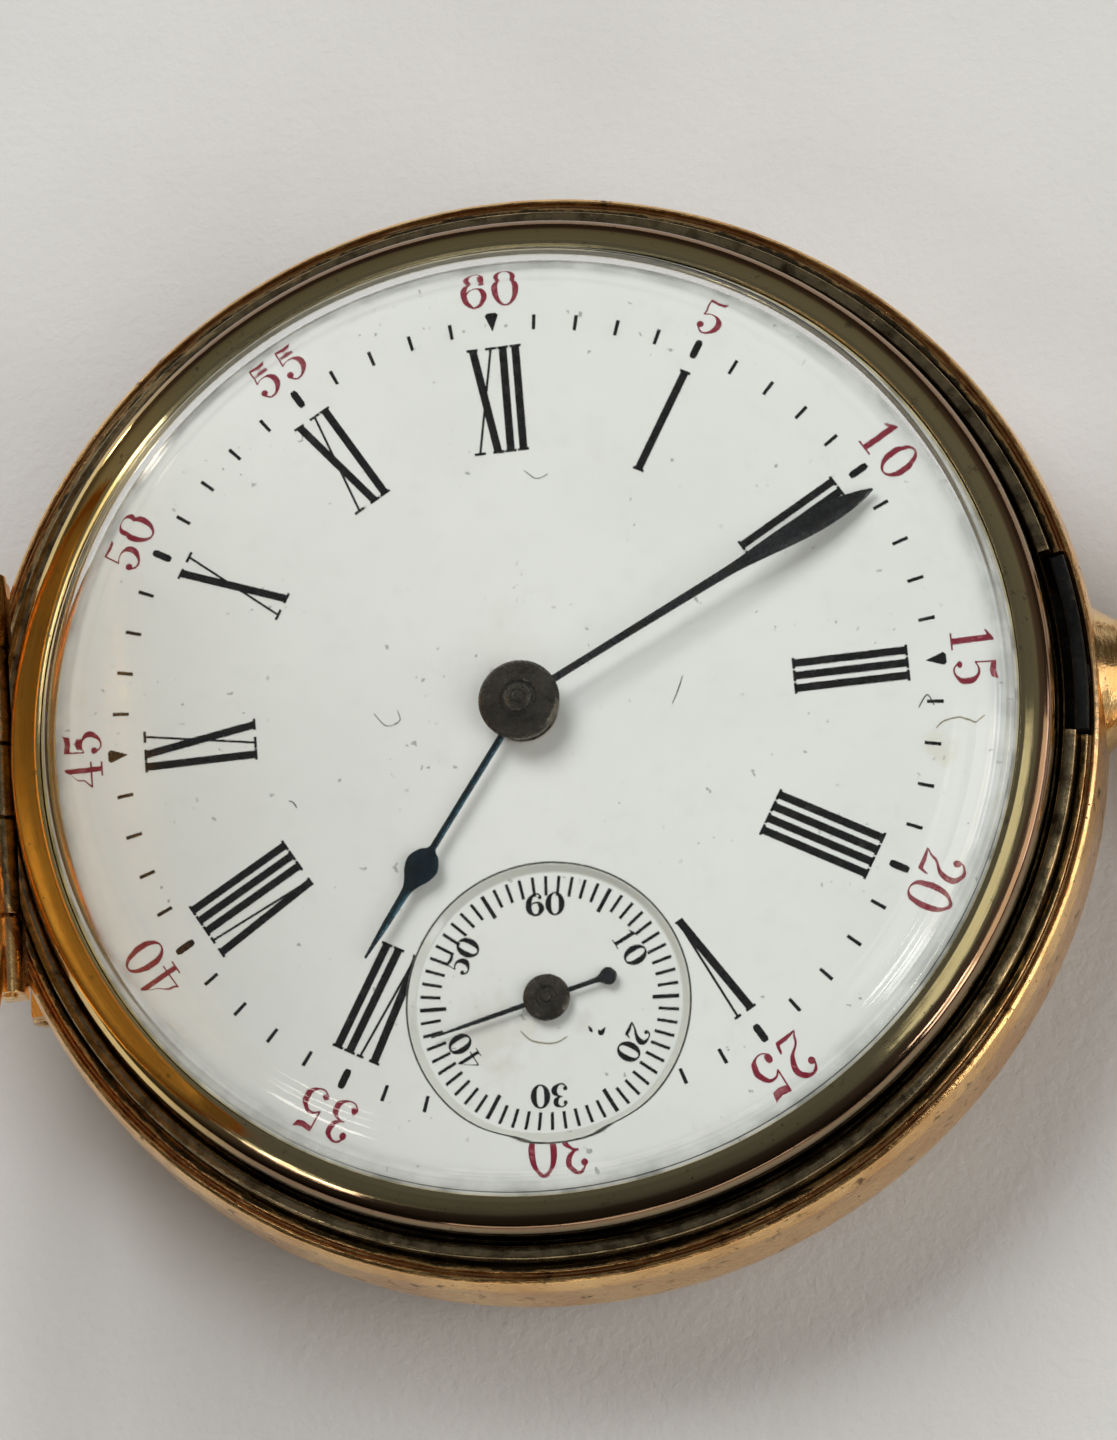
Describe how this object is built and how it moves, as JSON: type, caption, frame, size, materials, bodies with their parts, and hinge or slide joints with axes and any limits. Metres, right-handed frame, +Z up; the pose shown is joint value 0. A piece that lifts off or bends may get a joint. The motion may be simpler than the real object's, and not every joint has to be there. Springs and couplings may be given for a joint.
{
  "type": "pocket watch",
  "caption": "Hunter-case pocket watch with sprung front lid, domed crystal, enamel dial with sunk seconds, pear hands, fluted crown, bow and a geared lever movement.",
  "frame": {"origin": "centre of the flat on the outside of the back cover, which the watch lies on", "axes": "+Z up through the dial, +Y towards the 60 (twelve o'clock), +X along the pendant and crown at three o'clock"},
  "size_m": [0.0526, 0.0338, 0.0384],
  "materials": {
    "rose_gold": "satin worn rose gold plate",
    "yellow_gold": "polished, slightly tarnished gold plate",
    "enamel": "glazed white vitreous enamel",
    "glass": "clear domed crystal",
    "blued_steel": "heat-blued steel",
    "bright_steel": "polished steel",
    "nickel": "frosted and damascened nickel",
    "brass": "gilt brass"
  },
  "bodies": {
    "case": {"case_middle": "rose_gold", "pendant_tube": "rose_gold", "stem_sleeve": "bright_steel", "bezel": "yellow_gold", "crystal": "glass", "front_hinge_pin": "rose_gold", "back_hinge_pin": "rose_gold", "lift_spring": "blued_steel", "dial": "enamel", "seconds_dial": "enamel", "mainplate": "nickel", "barrel_bridge": "nickel", "train_bridge": "nickel", "balance_cock": "nickel", "pallet_bridge": "nickel", "click_spring": "bright_steel", "crown_wheel_screw": "blued_steel", "barrel_bridge_screw_a": "blued_steel", "barrel_bridge_screw_b": "blued_steel", "train_bridge_screw": "blued_steel", "balance_cock_screw": "blued_steel", "case_screw_1": "blued_steel", "case_screw_2": "blued_steel"},
    "front_lid": {"front_cover": "rose_gold"},
    "back_lid": {"back_cover": "rose_gold"},
    "inner_lid": {"dust_cover": "yellow_gold"},
    "bow_loop": {"bow": "rose_gold"},
    "winding_gear": {"winding_pinion": "bright_steel"},
    "crown_and_stem": {"crown": "yellow_gold", "winding_stem": "bright_steel"},
    "crown_wheel_body": {"crown_wheel": "bright_steel"},
    "ratchet": {"ratchet_wheel": "bright_steel", "ratchet_screw": "blued_steel", "barrel_arbor": "bright_steel"},
    "click_lever": {"click": "bright_steel"},
    "catch": {"lock_spring": "blued_steel"},
    "barrel": {"mainspring_barrel": "brass", "barrel_cover": "brass", "mainspring": "bright_steel"},
    "center": {"center_wheel": "brass", "center_pinion": "bright_steel", "cannon_pinion": "bright_steel", "minute_hand": "blued_steel"},
    "hour": {"hour_wheel": "brass", "hour_hand": "blued_steel"},
    "minute_work": {"minute_wheel": "brass"},
    "setting": {"setting_wheel": "bright_steel"},
    "third": {"third_wheel": "brass", "third_pinion": "bright_steel"},
    "fourth": {"fourth_wheel": "brass", "fourth_pinion": "bright_steel", "seconds_hand": "blued_steel"},
    "escape": {"escape_wheel": "bright_steel", "escape_pinion": "bright_steel"},
    "fork": {"pallet_fork": "bright_steel"},
    "balance": {"balance_wheel": "brass", "balance_staff": "bright_steel", "hairspring": "blued_steel"},
    "regulator_lever": {"regulator": "bright_steel"}
  },
  "joints": [
    {"name": "front_lid_hinge", "type": "hinge", "parent": "case", "child": "front_lid", "pos_m": [-0.016, 0, 0.0063], "axis": [0, 1, 0], "range_deg": [0, 100]},
    {"name": "back_lid_hinge", "type": "hinge", "parent": "case", "child": "back_lid", "pos_m": [-0.016, 0, 0.0017], "axis": [0, 1, 0], "range_deg": [0, 90]},
    {"name": "inner_lid_hinge", "type": "hinge", "parent": "case", "child": "inner_lid", "pos_m": [-0.016, 0, 0.0017], "axis": [0, 1, 0], "range_deg": [0, 90]},
    {"name": "bow_swing", "type": "hinge", "parent": "case", "child": "bow_loop", "pos_m": [0.0191, 0, 0.0037], "axis": [0, 1, 0], "range_deg": [-85, 85]},
    {"name": "winding_turn", "type": "hinge", "parent": "case", "child": "winding_gear", "pos_m": [0.01069, 0, 0.0037], "axis": [1, 0, 0], "continuous": true},
    {"name": "crown_slide", "type": "slide", "parent": "winding_gear", "child": "crown_and_stem", "axis": [1, 0, 0], "range_m": [0, 0.001]},
    {"name": "crown_wheel_turn", "type": "hinge", "parent": "case", "child": "crown_wheel_body", "pos_m": [0.00807, 0, 0.00165], "axis": [0, 0, 1], "continuous": true},
    {"name": "ratchet_turn", "type": "hinge", "parent": "case", "child": "ratchet", "pos_m": [0.0036, 0.00539, 0.00165], "axis": [0, 0, 1], "continuous": true},
    {"name": "click_rock", "type": "hinge", "parent": "case", "child": "click_lever", "pos_m": [0.00959, 0.00734, 0.00165], "axis": [0, 0, 1], "range_deg": [-8, 0], "stiffness_Nm_per_rad": 0.000002, "springref_deg": 5.73},
    {"name": "catch_release", "type": "hinge", "parent": "case", "child": "catch", "pos_m": [0.00768, -0.01329, 0.00515], "axis": [0, 0, 1], "range_deg": [0, 0.7], "stiffness_Nm_per_rad": 0.01, "springref_deg": -2.86},
    {"name": "center_turn", "type": "hinge", "parent": "case", "child": "center", "pos_m": [0, 0, 0.003], "axis": [0, 0, 1], "continuous": true},
    {"name": "barrel_turn", "type": "hinge", "parent": "case", "child": "barrel", "pos_m": [0.0036, 0.00539, 0.0043], "axis": [0, 0, 1], "continuous": true},
    {"name": "third_turn", "type": "hinge", "parent": "case", "child": "third", "pos_m": [0.00226, -0.0049, 0.0044], "axis": [0, 0, 1], "continuous": true},
    {"name": "fourth_turn", "type": "hinge", "parent": "case", "child": "fourth", "pos_m": [0, -0.0087, 0.0036], "axis": [0, 0, 1], "continuous": true},
    {"name": "escape_turn", "type": "hinge", "parent": "case", "child": "escape", "pos_m": [-0.00344, -0.00755, 0.0042], "axis": [0, 0, 1], "continuous": true},
    {"name": "minute_work_turn", "type": "hinge", "parent": "case", "child": "minute_work", "pos_m": [0.0024, 0, 0.0062], "axis": [0, 0, 1], "continuous": true},
    {"name": "hour_turn", "type": "hinge", "parent": "case", "child": "hour", "pos_m": [0, 0, 0.0065], "axis": [0, 0, 1], "continuous": true},
    {"name": "setting_turn", "type": "hinge", "parent": "case", "child": "setting", "pos_m": [0.00564, 0, 0.0062], "axis": [0, 0, 1], "continuous": true},
    {"name": "fork_rock", "type": "hinge", "parent": "case", "child": "fork", "pos_m": [-0.00512, -0.00583, 0.0042], "axis": [0, 0, 1], "range_deg": [-4, 4]},
    {"name": "balance_swing", "type": "hinge", "parent": "case", "child": "balance", "pos_m": [-0.0076, -0.0033, 0.0034], "axis": [0, 0, 1], "range_deg": [-270, 270], "stiffness_Nm_per_rad": 0.0000007},
    {"name": "regulator_turn", "type": "hinge", "parent": "case", "child": "regulator_lever", "pos_m": [-0.0076, -0.0033, 0.0017], "axis": [0, 0, 1], "range_deg": [-18, 18]}
  ],
  "couplings": [
    {"joint": "inner_lid_hinge", "follows": "back_lid_hinge", "ratio": 0.9},
    {"joint": "crown_wheel_turn", "follows": "winding_turn", "ratio": 0.76667},
    {"joint": "ratchet_turn", "follows": "winding_turn", "ratio": -0.46},
    {"joint": "barrel_turn", "follows": "center_turn", "ratio": -0.125},
    {"joint": "third_turn", "follows": "center_turn", "ratio": -8},
    {"joint": "fourth_turn", "follows": "center_turn", "ratio": 60},
    {"joint": "escape_turn", "follows": "center_turn", "ratio": -600},
    {"joint": "minute_work_turn", "follows": "center_turn", "ratio": -0.33333},
    {"joint": "hour_turn", "follows": "center_turn", "ratio": 0.083333},
    {"joint": "setting_turn", "follows": "center_turn", "ratio": 0.41667}
  ]
}
